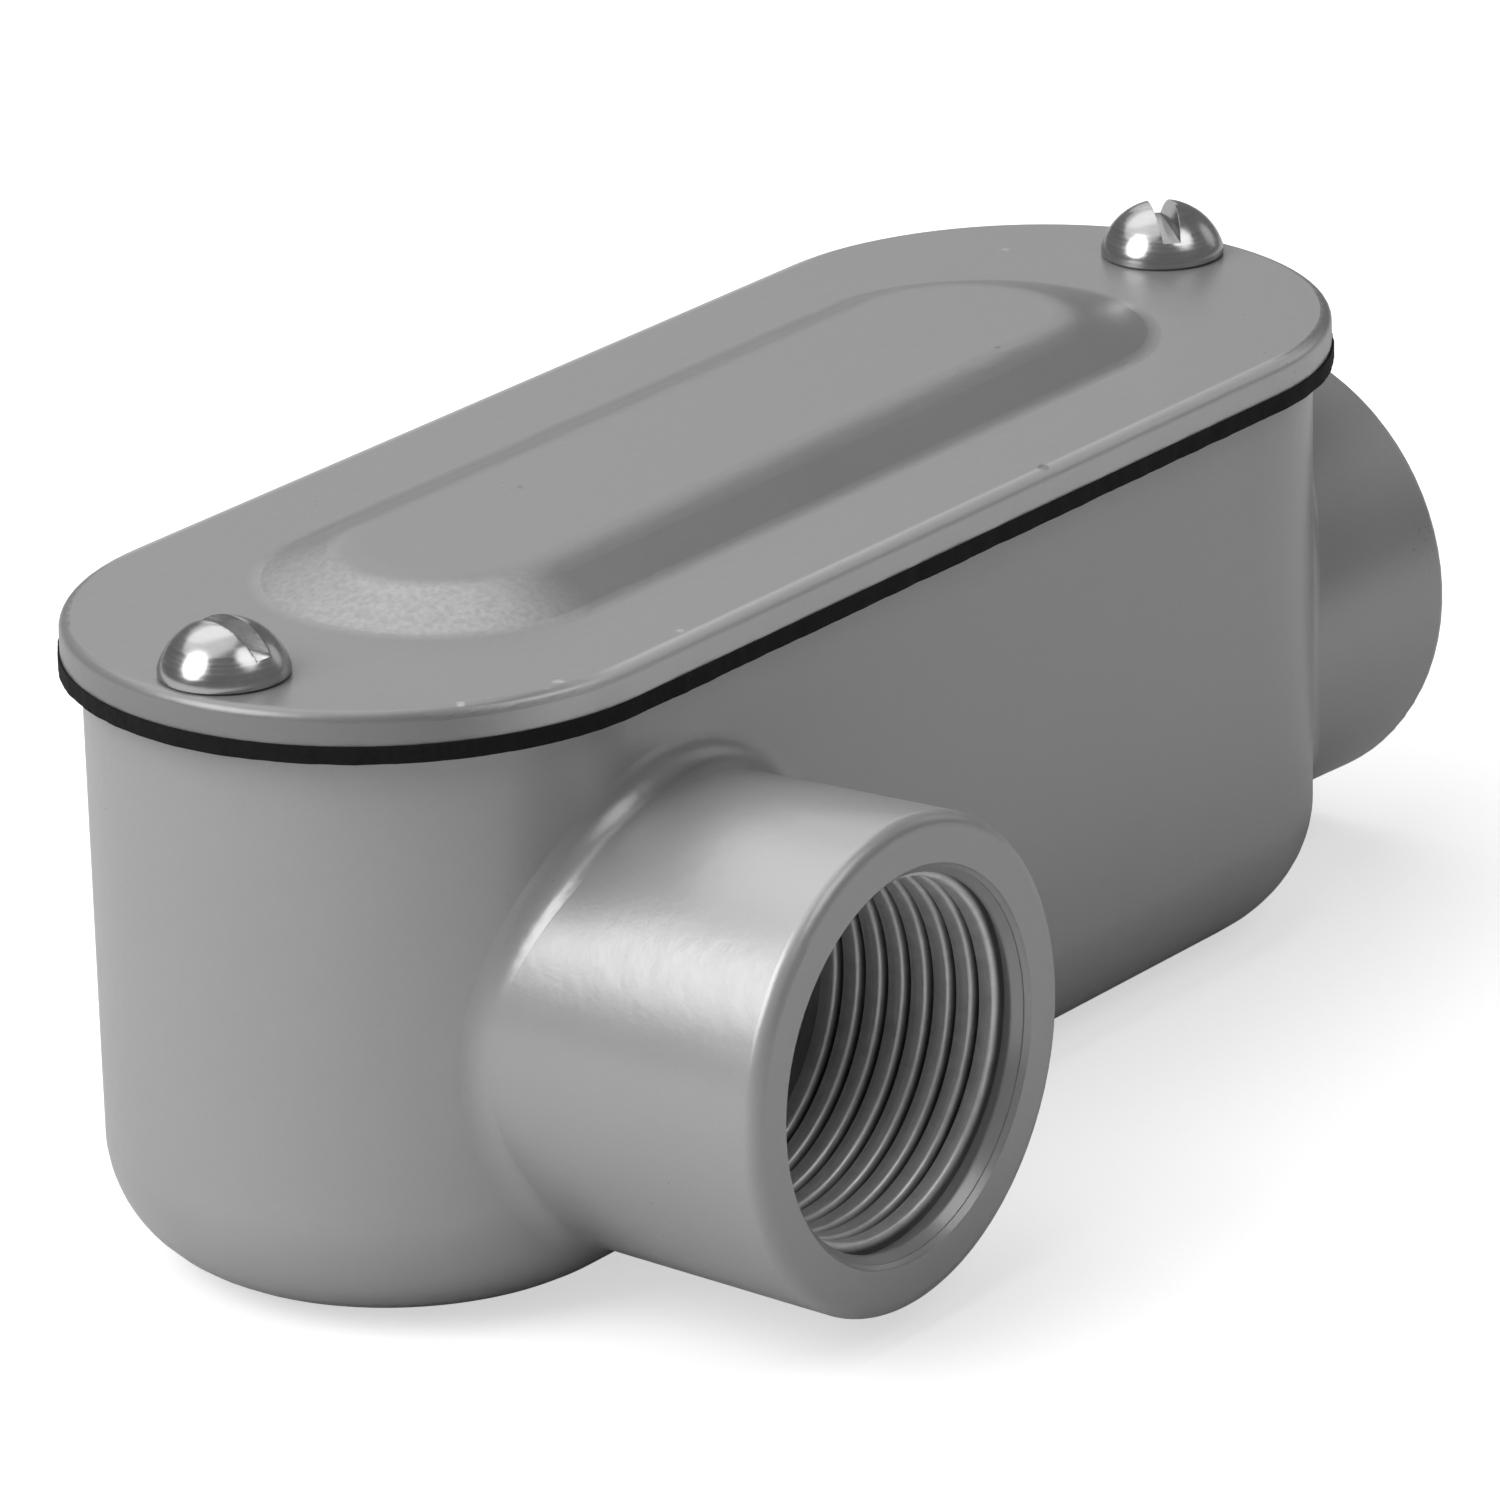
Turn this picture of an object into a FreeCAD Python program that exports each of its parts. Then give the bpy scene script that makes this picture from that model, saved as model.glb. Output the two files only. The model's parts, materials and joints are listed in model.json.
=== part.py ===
"""Threaded conduit body, type LR: a die-cast box with an end hub, a side hub and a screwed, gasketed cover.

Millimetres. The flat back of the casting lies on z = 0 and the cover closes it at the top. The box is
long in X, the end hub opens towards +X, and the side hub opens towards -Y near the -X end.
"""

import FreeCAD
import Part

import math
import os

import Sketcher
from FreeCAD import Rotation, Vector

Z_AXIS = Vector(0, 0, 1)

# Driving dimensions: alias, value, meaning.
DIMENSIONS = [
    ("casting_length", 114.0, "box, end to end at the rim"),
    ("casting_width", 40.0, "box, side to side at the rim"),
    ("casting_height", 41.6, "back face to rim"),
    ("casting_draft", 0.4, "degrees, outside walls lean in towards the back"),
    ("back_round", 8.8, "radius round the back edge of the box"),
    ("wall", 2.6, "side and end wall"),
    ("back_wall", 2.8, "floor of the wire space"),
    ("core_draft", 0.8, "degrees, inside walls"),
    ("core_round", 5.6, "radius round the floor of the wire space"),
    ("core_corner", 7.0, "corner radius of the wire space beside the end hub"),
    ("boss_radius", 4.4, "screw boss on the end wall"),
    ("boss_fillet", 2.0, "where the boss runs into the end wall"),
    ("hub_radius", 17.0, "outside of both hubs at the mouth"),
    ("hub_draft", 1.5, "degrees, hubs narrow towards the box"),
    ("hub_height", 19.1, "hub axes above the back"),
    ("hub_edge_round", 1.0, "outer edge of the hub face"),
    ("hub_fillet", 2.2, "between side hub and box"),
    ("side_hub_inset", 24.7, "side hub axis from the closed end of the box"),
    ("side_hub_length", 19.2, "side hub beyond the side wall"),
    ("end_hub_length", 7.7, "end hub beyond the end wall"),
    ("bore_radius", 13.3, "root of the pipe thread"),
    ("bore_bevel", 0.35, "bevel at the mouth"),
    ("bore_depth", 18.0, "mouth to stop shoulder"),
    ("throat_radius", 10.2, "smooth throat behind the shoulder"),
    ("throat_round", 1.6, "both lips of the throat"),
    ("throat_length", 4.7, "shoulder to wire space in the end hub"),
    ("screw_inset", 3.6, "cover screw axis from the end of the box"),
    ("tapped_radius", 2.4, "cover screw hole in the casting"),
    ("tapped_depth", 6.6, "cover screw hole below the rim"),
    ("gasket_thick", 1.2, "gasket"),
    ("gasket_overhang", 1.5, "gasket beyond the box"),
    ("gasket_land", 4.0, "gasket inside the outline of the box, long sides"),
    ("gasket_web", 4.9, "screw axis to the gasket's opening"),
    ("cover_overhang", 1.35, "cover beyond the box"),
    ("cover_thick", 2.3, "cover flange"),
    ("cover_rim_round", 0.8, "upper edge of the cover"),
    ("cover_hole_radius", 2.7, "clearance hole for a cover screw"),
    ("panel_margin", 8.75, "cover edge to foot of the raised panel, long sides"),
    ("panel_end_margin", 15.35, "cover edge to foot of the raised panel, ends"),
    ("panel_rise", 2.1, "raised panel above the flange"),
    ("panel_slope", 4.8, "width of the panel's sloping side"),
    ("panel_end_slope", 6.8, "length of the panel's sloping end"),
    ("panel_foot_round", 3.0, "hollow at the foot of the slope"),
    ("panel_top_round", 7.0, "soft edge at the top of the slope"),
    ("head_radius", 4.4, "screw head"),
    ("head_edge", 0.6, "upright edge of the head"),
    ("head_height", 3.9, "whole head"),
    ("slot_width", 1.3, "driver slot"),
    ("slot_depth", 2.0, "driver slot"),
    ("shank_radius", 2.1, "shank at the root of its thread"),
    ("shank_length", 9.5, "below the head"),
    ("shank_bevel", 0.6, "tip of the shank"),
    ("near_slot_angle", 71.0, "degrees from +X, screw at the closed end"),
    ("far_slot_angle", 46.0, "degrees from +X, screw at the end hub"),
]

# Places that several features share, as sheet expressions. The hubs start inside the box, where the wire
# space is cut out later, and the bores run on into that space.
HALF_LENGTH = "dims.casting_length / 2"
HALF_WIDTH = "dims.casting_width / 2"
END_CENTRE = HALF_LENGTH + " - " + HALF_WIDTH
SCREW_X = HALF_LENGTH + " - dims.screw_inset"
SIDE_HUB_X = HALF_LENGTH + " - dims.side_hub_inset"
SIDE_HUB_START = HALF_WIDTH + " / 2"
END_FACE = HALF_LENGTH + " + dims.end_hub_length"
SIDE_FACE = HALF_WIDTH + " + dims.side_hub_length"
END_WALL = END_FACE + " - dims.bore_depth - dims.throat_length"
SIDE_WALL = HALF_WIDTH + (" - dims.wall"
                          " - (dims.casting_height - dims.hub_height) * tan(dims.core_draft * 1deg)")
BORE_OVERCUT = "2.0"
COVER_SEAT = "dims.casting_height + dims.gasket_thick"
COVER_TOP = COVER_SEAT + " + dims.cover_thick"


def makeSheet(doc):
    """Puts the driving dimensions into a spreadsheet with one alias for each."""
    sheet = doc.addObject("Spreadsheet::Sheet", "dims")
    for row, (alias, value, meaning) in enumerate(DIMENSIONS, start=1):
        sheet.set(f"A{row}", meaning)
        sheet.set(f"B{row}", str(value))
        sheet.setAlias(f"B{row}", alias)
    doc.recompute()
    return sheet


def newBody(doc, label):
    body = doc.addObject("PartDesign::Body", label)
    body.Label = label
    return body


def originPlane(body, role):
    return next(feature for feature in body.Origin.OriginFeatures if feature.Role == role)


def newSketch(body, name, role="XY_Plane", origin=(None, None, None), turn=0.0):
    """A sketch on one of the body's origin planes, moved by sheet expressions and turned on its normal."""
    sketch = body.newObject("Sketcher::SketchObject", name)
    sketch.AttachmentSupport = (originPlane(body, role), [""])
    sketch.MapMode = "FlatFace"
    sketch.AttachmentOffset = FreeCAD.Placement(Vector(0, 0, 0), Rotation(Z_AXIS, turn))
    for axis, expression in zip("xyz", origin):
        if expression:
            sketch.setExpression(f".AttachmentOffset.Base.{axis}", expression)
    return sketch


def bind(sketch, name, expression, *constraint):
    """Adds a dimension to the sketch and ties it to the sheet."""
    index = sketch.addConstraint(Sketcher.Constraint(*constraint))
    sketch.renameConstraint(index, name)
    sketch.setExpression(f"Constraints.{name}", expression)


def joinTangent(sketch, loop):
    """Makes each element of a closed loop run smoothly into the next; an element is (index, start, end)."""
    for (first, _, firstEnd), (second, secondStart, _) in zip(loop, loop[1:] + loop[:1]):
        sketch.addConstraint(Sketcher.Constraint("Tangent", first, firstEnd, second, secondStart))


def arc(centre, radius, startAngle, endAngle):
    circle = Part.Circle(Vector(centre[0], centre[1], 0), Z_AXIS, radius)
    return Part.ArcOfCircle(circle, math.radians(startAngle), math.radians(endAngle))


def line(start, end):
    return Part.LineSegment(Vector(start[0], start[1], 0), Vector(end[0], end[1], 0))


def obround(sketch, halfLength, halfWidth, startLength=50.0, startWidth=15.0):
    """A straight-sided outline with full-round ends, centred on the sketch's origin."""
    middle = startLength - startWidth
    lower = sketch.addGeometry(line((-middle, -startWidth), (middle, -startWidth)))
    right = sketch.addGeometry(arc((middle, 0), startWidth, -90, 90))
    upper = sketch.addGeometry(line((middle, startWidth), (-middle, startWidth)))
    left = sketch.addGeometry(arc((-middle, 0), startWidth, 90, 270))
    joinTangent(sketch, [(lower, 1, 2), (right, 1, 2), (upper, 1, 2), (left, 1, 2)])
    sketch.addConstraint(Sketcher.Constraint("Horizontal", lower))
    sketch.addConstraint(Sketcher.Constraint("Horizontal", upper))
    sketch.addConstraint(Sketcher.Constraint("PointOnObject", right, 3, -1))
    bind(sketch, "endRadius", halfWidth, "Radius", right, startWidth)
    bind(sketch, "rightEnd", f"{halfLength} - ({halfWidth})", "DistanceX", -1, 1, right, 3, middle)
    bind(sketch, "leftEnd", f"{halfLength} - ({halfWidth})", "DistanceX", left, 3, -1, 1, middle)


def screwCircles(sketch, radiusExpression):
    """One circle at each cover screw."""
    startX, startRadius = 50.0, 1.0
    near = sketch.addGeometry(Part.Circle(Vector(-startX, 0, 0), Z_AXIS, startRadius))
    far = sketch.addGeometry(Part.Circle(Vector(startX, 0, 0), Z_AXIS, startRadius))
    for circle in (near, far):
        sketch.addConstraint(Sketcher.Constraint("PointOnObject", circle, 3, -1))
    bind(sketch, "nearRadius", radiusExpression, "Radius", near, startRadius)
    bind(sketch, "farRadius", radiusExpression, "Radius", far, startRadius)
    bind(sketch, "nearPlace", SCREW_X, "DistanceX", near, 3, -1, 1, startX)
    bind(sketch, "farPlace", SCREW_X, "DistanceX", -1, 1, far, 3, startX)


def hubProfile(sketch, startExpression, faceExpression, value):
    """Half-section of a hub on its axis: drafted outside, rounded outer edge, flat face."""
    radius, edge = value["hub_radius"], value["hub_edge_round"]
    start, face = 10.0, 40.0
    slope = math.radians(value["hub_draft"])
    axis = sketch.addGeometry(line((start, 0), (face, 0)))
    front = sketch.addGeometry(line((face, 0), (face, radius - edge)))
    rounded = sketch.addGeometry(arc((face - edge, radius - edge), edge, 0, 90))
    outside = sketch.addGeometry(line((face - edge, radius), (start, radius - 1)))
    back = sketch.addGeometry(line((start, radius - 1), (start, 0)))
    for first, second in ((axis, front), (outside, back), (back, axis)):
        sketch.addConstraint(Sketcher.Constraint("Coincident", first, 2, second, 1))
    sketch.addConstraint(Sketcher.Constraint("Tangent", front, 2, rounded, 1))
    sketch.addConstraint(Sketcher.Constraint("Tangent", rounded, 2, outside, 1))
    sketch.addConstraint(Sketcher.Constraint("PointOnObject", axis, 1, -1))
    sketch.addConstraint(Sketcher.Constraint("Horizontal", axis))
    sketch.addConstraint(Sketcher.Constraint("Vertical", front))
    sketch.addConstraint(Sketcher.Constraint("Vertical", back))
    bind(sketch, "start", startExpression, "DistanceX", -1, 1, axis, 1, start)
    bind(sketch, "face", faceExpression, "DistanceX", -1, 1, axis, 2, face)
    bind(sketch, "edgeRound", "dims.hub_edge_round", "Radius", rounded, edge)
    bind(sketch, "mouthRadius", "dims.hub_radius", "DistanceY", axis, 2, outside, 1, radius)
    bind(sketch, "draft", "dims.hub_draft * 1deg", "Angle", axis, 1, outside, 2, slope)


def boreProfile(sketch, faceExpression, wallExpression, value):
    """Half-section of what is cut from a hub: bevelled mouth, threaded bore, shoulder and rounded throat."""
    bore, bevel, depth = value["bore_radius"], value["bore_bevel"], value["bore_depth"]
    throat, lip = value["throat_radius"], value["throat_round"]
    face = 40.0
    shoulder = face - depth
    wallPlace = shoulder - value["throat_length"]
    inside = wallPlace - float(BORE_OVERCUT)
    axis = sketch.addGeometry(line((inside, 0), (face, 0)))
    mouth = sketch.addGeometry(line((face, 0), (face, bore + bevel)))
    bevelLine = sketch.addGeometry(line((face, bore + bevel), (face - bevel, bore)))
    boreLine = sketch.addGeometry(line((face - bevel, bore), (shoulder, bore)))
    stop = sketch.addGeometry(line((shoulder, bore), (shoulder, throat + lip)))
    outerLip = sketch.addGeometry(arc((shoulder - lip, throat + lip), lip, 270, 360))
    throatLine = sketch.addGeometry(line((shoulder - lip, throat), (wallPlace + lip, throat)))
    innerLip = sketch.addGeometry(arc((wallPlace + lip, throat + lip), lip, 180, 270))
    runOut = sketch.addGeometry(line((wallPlace, throat + lip), (inside, throat + lip)))
    back = sketch.addGeometry(line((inside, throat + lip), (inside, 0)))
    corners = ((axis, mouth), (mouth, bevelLine), (bevelLine, boreLine), (boreLine, stop), (runOut, back),
               (back, axis))
    for first, second in corners:
        sketch.addConstraint(Sketcher.Constraint("Coincident", first, 2, second, 1))
    sketch.addConstraint(Sketcher.Constraint("Tangent", stop, 2, outerLip, 2))
    sketch.addConstraint(Sketcher.Constraint("Tangent", outerLip, 1, throatLine, 1))
    sketch.addConstraint(Sketcher.Constraint("Tangent", throatLine, 2, innerLip, 2))
    sketch.addConstraint(Sketcher.Constraint("Coincident", innerLip, 1, runOut, 1))
    sketch.addConstraint(Sketcher.Constraint("PointOnObject", axis, 1, -1))
    for level in (axis, boreLine, throatLine, runOut):
        sketch.addConstraint(Sketcher.Constraint("Horizontal", level))
    for upright in (mouth, stop, back):
        sketch.addConstraint(Sketcher.Constraint("Vertical", upright))
    bind(sketch, "face", faceExpression, "DistanceX", -1, 1, axis, 2, face)
    bind(sketch, "boreRadius", "dims.bore_radius", "DistanceY", axis, 2, boreLine, 1, bore)
    bind(sketch, "bevelDepth", "dims.bore_bevel", "DistanceX", boreLine, 1, mouth, 2, bevel)
    bind(sketch, "bevelWidth", "dims.bore_bevel", "DistanceY", boreLine, 1, mouth, 2, bevel)
    bind(sketch, "boreDepth", "dims.bore_depth", "DistanceX", boreLine, 2, mouth, 2, depth)
    bind(sketch, "throatRadius", "dims.throat_radius", "DistanceY", axis, 2, throatLine, 1, throat)
    bind(sketch, "outerLip", "dims.throat_round", "Radius", outerLip, lip)
    bind(sketch, "innerLip", "dims.throat_round", "Radius", innerLip, lip)
    bind(sketch, "wallPlace", wallExpression, "DistanceX", -1, 1, runOut, 1, wallPlace)
    bind(sketch, "lipEnd", "dims.throat_radius + dims.throat_round", "DistanceY", axis, 2, runOut, 1,
         throat + lip)
    bind(sketch, "overcut", wallExpression + " - " + BORE_OVERCUT, "DistanceX", -1, 1, axis, 1, inside)


def cavityOutline(sketch, value):
    """Outline of the wire space at the rim: square end at the end hub, boss on the closed end."""
    halfWidth = value["casting_width"] / 2 - value["wall"]
    centre = value["casting_length"] / 2 - value["casting_width"] / 2
    endWall = (value["casting_length"] / 2 + value["end_hub_length"] - value["bore_depth"]
               - value["throat_length"])
    corner, boss, blend = value["core_corner"], value["boss_radius"], value["boss_fillet"]
    bossX = value["casting_length"] / 2 - value["screw_inset"]
    # The blend arc touches the end arc from inside and the boss from outside.
    reach, away = halfWidth - blend, boss + blend
    gap = bossX - centre
    along = (gap ** 2 + reach ** 2 - away ** 2) / (2 * gap)
    blendX, blendY = -centre - along, math.sqrt(reach ** 2 - along ** 2)
    endAngle = math.degrees(math.atan2(blendY, blendX + centre))
    bossAngle = math.degrees(math.atan2(blendY, blendX + bossX))

    lower = sketch.addGeometry(line((-centre, -halfWidth), (endWall - corner, -halfWidth)))
    lowerCorner = sketch.addGeometry(arc((endWall - corner, corner - halfWidth), corner, -90, 0))
    end = sketch.addGeometry(line((endWall, corner - halfWidth), (endWall, halfWidth - corner)))
    upperCorner = sketch.addGeometry(arc((endWall - corner, halfWidth - corner), corner, 0, 90))
    upper = sketch.addGeometry(line((endWall - corner, halfWidth), (-centre, halfWidth)))
    upperEnd = sketch.addGeometry(arc((-centre, 0), halfWidth, 90, endAngle))
    upperBlend = sketch.addGeometry(arc((blendX, blendY), blend, endAngle, bossAngle + 180))
    bossArc = sketch.addGeometry(arc((-bossX, 0), boss, -bossAngle, bossAngle))
    lowerBlend = sketch.addGeometry(arc((blendX, -blendY), blend, 180 - bossAngle, 360 - endAngle))
    lowerEnd = sketch.addGeometry(arc((-centre, 0), halfWidth, 360 - endAngle, 270))
    joinTangent(sketch, [(lower, 1, 2), (lowerCorner, 1, 2), (end, 1, 2), (upperCorner, 1, 2), (upper, 1, 2),
                         (upperEnd, 1, 2), (upperBlend, 1, 2), (bossArc, 2, 1), (lowerBlend, 1, 2),
                         (lowerEnd, 1, 2)])
    sketch.addConstraint(Sketcher.Constraint("Horizontal", lower))
    sketch.addConstraint(Sketcher.Constraint("Horizontal", upper))
    sketch.addConstraint(Sketcher.Constraint("Vertical", end))
    sketch.addConstraint(Sketcher.Constraint("Coincident", upperEnd, 3, lowerEnd, 3))
    sketch.addConstraint(Sketcher.Constraint("PointOnObject", lowerEnd, 3, -1))
    sketch.addConstraint(Sketcher.Constraint("PointOnObject", bossArc, 3, -1))
    sketch.addConstraint(Sketcher.Constraint("Equal", upperEnd, lowerEnd))
    sketch.addConstraint(Sketcher.Constraint("Equal", upperCorner, lowerCorner))
    sketch.addConstraint(Sketcher.Constraint("Equal", upperBlend, lowerBlend))
    bind(sketch, "endRadius", HALF_WIDTH + " - dims.wall", "Radius", lowerEnd, halfWidth)
    bind(sketch, "cornerRadius", "dims.core_corner", "Radius", lowerCorner, corner)
    bind(sketch, "blendRadius", "dims.boss_fillet", "Radius", lowerBlend, blend)
    bind(sketch, "bossRadius", "dims.boss_radius", "Radius", bossArc, boss)
    bind(sketch, "endCentre", END_CENTRE, "DistanceX", lowerEnd, 3, -1, 1, centre)
    bind(sketch, "bossPlace", SCREW_X, "DistanceX", bossArc, 3, -1, 1, bossX)
    bind(sketch, "endWall", END_WALL, "DistanceX", -1, 1, end, 1, endWall)


def edgesWhere(shape, test):
    """Names of the edges of a shape that pass the test."""
    return [f"Edge{number}" for number, edge in enumerate(shape.Edges, start=1) if test(edge)]


def liesAt(edge, height, tolerance=1e-4):
    box = edge.BoundBox
    return abs(box.ZMin - height) < tolerance and abs(box.ZMax - height) < tolerance


def addFillet(body, name, base, edges, expression):
    fillet = body.newObject("PartDesign::Fillet", name)
    fillet.Base = (base, edges)
    fillet.setExpression("Radius", expression)
    return fillet


def addRevolved(body, kind, name, sketch):
    """A full turn of the sketch about its own X axis."""
    feature = body.newObject("PartDesign::" + kind, name)
    feature.Profile = sketch
    feature.ReferenceAxis = (sketch, ["H_Axis"])
    feature.Angle = 360.0
    return feature


def cutsFrom(doc, feature, before):
    """Recomputes and makes sure that a cut took material away."""
    doc.recompute()
    if feature.Shape.Volume >= before.Volume - 1.0:
        raise RuntimeError(f"{feature.Name} removed nothing")
    return feature


def hubJunction(shape, alongY):
    """Edges where the drafted outside of a hub meets the box."""
    def isHubSide(face):
        surface = face.Surface
        if not isinstance(surface, Part.Cone):
            return False
        along = abs(surface.Axis.y) if alongY else abs(surface.Axis.x)
        return along > 0.999

    def test(edge):
        faces = shape.ancestorsOfType(edge, Part.Face)
        sides = [face for face in faces if isHubSide(face)]
        others = [face for face in faces if not isHubSide(face) and not isinstance(face.Surface, Part.Toroid)]
        rounds = [face for face in faces if isinstance(face.Surface, Part.Toroid)
                  and abs(face.Surface.Axis.z) > 0.999]
        return bool(sides) and bool(others or rounds)

    return edgesWhere(shape, test)


def makeCasting(doc, value):
    """The die casting: drafted box, both hubs, wire space, bores, throats and tapped bosses."""
    body = newBody(doc, "body_casting")

    rim = newSketch(body, "rimOutline", origin=(None, None, "dims.casting_height"))
    obround(rim, HALF_LENGTH, HALF_WIDTH)
    box = body.newObject("PartDesign::Pad", "box")
    box.Profile = rim
    box.Reversed = True
    box.setExpression("Length", "dims.casting_height")
    box.setExpression("TaperAngle", "-dims.casting_draft * 1deg")
    doc.recompute()
    backEdges = edgesWhere(box.Shape, lambda edge: liesAt(edge, 0.0))
    addFillet(body, "backRound", box, backEdges, "dims.back_round")

    sideSection = newSketch(body, "sideHubSection", origin=("-(" + SIDE_HUB_X + ")", None, "dims.hub_height"),
                            turn=-90)
    hubProfile(sideSection, SIDE_HUB_START, SIDE_FACE, value)
    addRevolved(body, "Revolution", "sideHub", sideSection)
    endSection = newSketch(body, "endHubSection", origin=(None, None, "dims.hub_height"))
    hubProfile(endSection, END_CENTRE, END_FACE, value)
    hubs = addRevolved(body, "Revolution", "endHub", endSection)
    doc.recompute()

    sideFillet = addFillet(body, "sideHubFillet", hubs, hubJunction(hubs.Shape, True), "dims.hub_fillet")
    doc.recompute()
    addFillet(body, "endHubFillet", sideFillet, hubJunction(sideFillet.Shape, False), "dims.hub_fillet")
    doc.recompute()

    before = body.Shape.copy()
    core = newSketch(body, "wireSpaceOutline", origin=(None, None, "dims.casting_height"))
    cavityOutline(core, value)
    space = body.newObject("PartDesign::Pocket", "wireSpace")
    space.Profile = core
    space.setExpression("Length", "dims.casting_height - dims.back_wall")
    space.setExpression("TaperAngle", "-dims.core_draft * 1deg")
    cutsFrom(doc, space, before)
    floorEdges = edgesWhere(space.Shape, lambda edge: liesAt(edge, value["back_wall"]))
    floorRound = addFillet(body, "floorRound", space, floorEdges, "dims.core_round")
    doc.recompute()

    sideBore = newSketch(body, "sideBoreSection", origin=("-(" + SIDE_HUB_X + ")", None, "dims.hub_height"),
                         turn=-90)
    boreProfile(sideBore, SIDE_FACE, SIDE_WALL, value)
    sideCut = addRevolved(body, "Groove", "sideBore", sideBore)
    cutsFrom(doc, sideCut, floorRound.Shape)
    endBore = newSketch(body, "endBoreSection", origin=(None, None, "dims.hub_height"))
    boreProfile(endBore, END_FACE, END_WALL, value)
    endCut = addRevolved(body, "Groove", "endBore", endBore)
    cutsFrom(doc, endCut, sideCut.Shape)

    taps = newSketch(body, "tappedHoles", origin=(None, None, "dims.casting_height"))
    screwCircles(taps, "dims.tapped_radius")
    tapped = body.newObject("PartDesign::Pocket", "tapped")
    tapped.Profile = taps
    tapped.setExpression("Length", "dims.tapped_depth")
    cutsFrom(doc, tapped, endCut.Shape)
    return body


def makeGasket(doc):
    """The rubber frame between rim and cover, as wide at its ends as the screws need."""
    body = newBody(doc, "gasket")
    outline = newSketch(body, "gasketOutline", origin=(None, None, "dims.casting_height"))
    obround(outline, HALF_LENGTH + " + dims.gasket_overhang", HALF_WIDTH + " + dims.gasket_overhang")
    frame = body.newObject("PartDesign::Pad", "gasketFrame")
    frame.Profile = outline
    frame.setExpression("Length", "dims.gasket_thick")
    doc.recompute()

    opening = newSketch(body, "gasketOpening", origin=(None, None, "dims.casting_height"))
    obround(opening, SCREW_X + " - dims.gasket_web", HALF_WIDTH + " - dims.gasket_land", 45.0, 12.0)
    cut = body.newObject("PartDesign::Pocket", "gasketCut")
    cut.Profile = opening
    cut.Reversed = True
    cut.setExpression("Length", "dims.gasket_thick")
    cutsFrom(doc, cut, frame.Shape)

    holes = newSketch(body, "gasketHoles", origin=(None, None, "dims.casting_height"))
    screwCircles(holes, "dims.cover_hole_radius")
    punched = body.newObject("PartDesign::Pocket", "gasketPunched")
    punched.Profile = holes
    punched.Reversed = True
    punched.setExpression("Length", "dims.gasket_thick")
    cutsFrom(doc, punched, cut.Shape)
    return body


def panelLoft(body, kind, name, footHeight):
    """The raised panel's form between its foot and its flat crown, added above or taken out below."""
    footLength = HALF_LENGTH + " + dims.cover_overhang - dims.panel_end_margin"
    footWidth = HALF_WIDTH + " + dims.cover_overhang - dims.panel_margin"
    foot = newSketch(body, name + "Foot", origin=(None, None, footHeight))
    obround(foot, footLength, footWidth, 40.0, 12.0)
    crown = newSketch(body, name + "Crown", origin=(None, None, footHeight + " + dims.panel_rise"))
    obround(crown, footLength + " - dims.panel_end_slope", footWidth + " - dims.panel_slope", 36.0, 8.0)
    loft = body.newObject("PartDesign::" + kind, name)
    loft.Profile = foot
    loft.Sections = [crown]
    loft.Ruled = True
    return loft


def makeCover(doc, value):
    """The cover: rounded flange, and a middle panel pushed up from below with soft edges."""
    body = newBody(doc, "cover_plate")
    seat = value["casting_height"] + value["gasket_thick"]
    top = seat + value["cover_thick"]

    outline = newSketch(body, "coverOutline", origin=(None, None, COVER_SEAT))
    obround(outline, HALF_LENGTH + " + dims.cover_overhang", HALF_WIDTH + " + dims.cover_overhang")
    flange = body.newObject("PartDesign::Pad", "flange")
    flange.Profile = outline
    flange.setExpression("Length", "dims.cover_thick")
    doc.recompute()
    rimEdges = edgesWhere(flange.Shape, lambda edge: liesAt(edge, top))
    addFillet(body, "rimRound", flange, rimEdges, "dims.cover_rim_round")
    doc.recompute()

    raised = panelLoft(body, "AdditiveLoft", "panel", COVER_TOP)
    doc.recompute()
    crownEdges = edgesWhere(raised.Shape, lambda edge: liesAt(edge, top + value["panel_rise"]))
    softened = addFillet(body, "panelTopRound", raised, crownEdges, "dims.panel_top_round")
    doc.recompute()
    footEdges = panelFootEdges(softened.Shape, top, value)
    footed = addFillet(body, "panelFootRound", softened, footEdges, "dims.panel_foot_round")
    doc.recompute()

    hollow = panelLoft(body, "SubtractiveLoft", "panelHollow", COVER_SEAT)
    cutsFrom(doc, hollow, footed.Shape)

    holes = newSketch(body, "coverHoles", origin=(None, None, COVER_SEAT))
    screwCircles(holes, "dims.cover_hole_radius")
    drilled = body.newObject("PartDesign::Pocket", "coverDrilled")
    drilled.Profile = holes
    drilled.Reversed = True
    drilled.setExpression("Length", "dims.cover_thick")
    cutsFrom(doc, drilled, hollow.Shape)
    return body


def panelFootEdges(shape, top, value):
    """Edges at the flange's level that belong to the panel's foot, not to the rim."""
    footHalf = value["casting_width"] / 2 + value["cover_overhang"] - value["panel_margin"]
    return edgesWhere(shape, lambda edge: liesAt(edge, top) and abs(edge.BoundBox.YMax) < footHalf + 0.01)


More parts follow.
